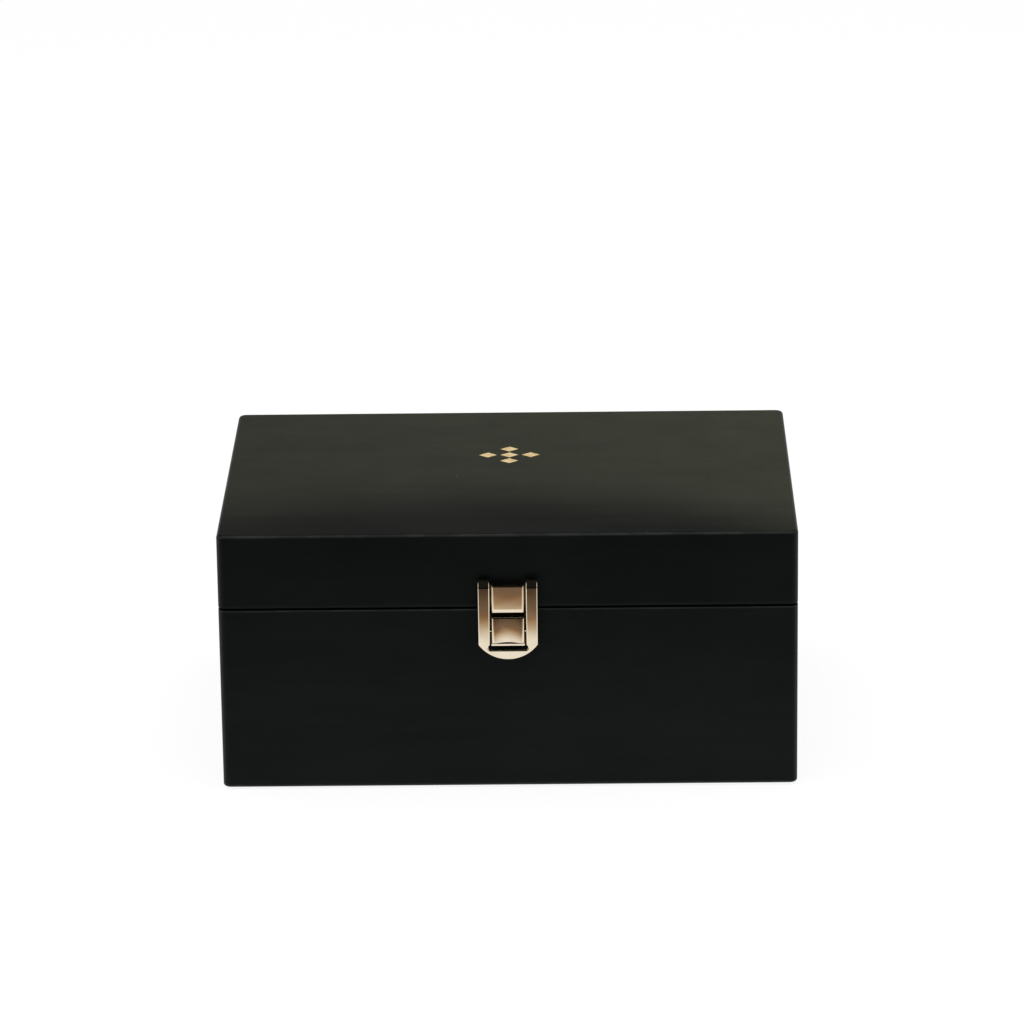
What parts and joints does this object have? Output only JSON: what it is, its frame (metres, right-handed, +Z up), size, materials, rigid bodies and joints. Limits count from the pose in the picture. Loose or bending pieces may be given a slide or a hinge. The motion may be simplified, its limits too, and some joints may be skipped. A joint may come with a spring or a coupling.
{
  "type": "chess piece storage box",
  "caption": "Lidded wooden storage box for a set of chess pieces: satin black outside, velvet inside, with butt hinges behind and a brass toggle latch in front.",
  "frame": {"origin": "on the table, under the middle of the box, at the underside of its baize", "axes": "+X to the right seen from the latch side, +Y to the hinges, +Z up"},
  "size_m": [0.24, 0.1791, 0.1116],
  "materials": {
    "black_wood": "satin black stain and lacquer over fine grain",
    "base_ply": "bare plywood",
    "baize": "wool baize",
    "lining_velvet": "short velvet pile over thin board",
    "pad_velvet": "short velvet pile over thin foam",
    "gold_foil": "hot-stamped matte gold foil",
    "hinge_brass": "polished",
    "latch_brass": "polished pale gold plating"
  },
  "bodies": {
    "body": {"body_front_wall": "black_wood", "body_back_wall": "black_wood", "body_left_wall": "black_wood", "body_right_wall": "black_wood", "base_board": "base_ply", "base_baize": "baize", "body_front_liner": "lining_velvet", "body_back_liner": "lining_velvet", "body_left_liner": "lining_velvet", "body_right_liner": "lining_velvet", "divider": "lining_velvet", "floor_pad_left": "pad_velvet", "floor_pad_right": "pad_velvet", "hinge_body_leaf_left": "hinge_brass", "hinge_body_leaf_right": "hinge_brass", "hinge_pin_left": "hinge_brass", "hinge_pin_right": "hinge_brass", "hinge_body_screws": "hinge_brass", "latch_base_plate": "latch_brass", "latch_base_nails": "latch_brass", "latch_lever_pin": "latch_brass"},
    "lid": {"lid_front_rail": "black_wood", "lid_back_rail": "black_wood", "lid_left_rail": "black_wood", "lid_right_rail": "black_wood", "lid_top_board": "black_wood", "lid_ornament": "gold_foil", "lid_front_liner": "lining_velvet", "lid_back_liner": "lining_velvet", "lid_left_liner": "lining_velvet", "lid_right_liner": "lining_velvet", "lid_pad": "pad_velvet", "hinge_lid_leaf_left": "hinge_brass", "hinge_lid_leaf_right": "hinge_brass", "hinge_lid_screws": "hinge_brass", "latch_strike": "latch_brass", "latch_strike_nails": "latch_brass"},
    "lever": {"latch_lever": "latch_brass", "latch_rivet": "latch_brass"},
    "claw": {"latch_claw": "latch_brass"}
  },
  "joints": [
    {"name": "lid_hinge", "type": "hinge", "parent": "body", "child": "lid", "pos_m": [0, 0.0872, 0.0796], "axis": [-1, 0, 0], "range_deg": [0, 95]},
    {"name": "lever_pivot", "type": "hinge", "parent": "body", "child": "lever", "pos_m": [0, -0.0879, 0.0755], "axis": [-1, 0, 0], "range_deg": [0, 110]},
    {"name": "claw_pivot", "type": "hinge", "parent": "lever", "child": "claw", "pos_m": [0, -0.0876, 0.0705], "axis": [1, 0, 0], "range_deg": [0, 132]}
  ],
  "couplings": [
    {"joint": "claw_pivot", "follows": "lever_pivot", "ratio": 1.2}
  ]
}
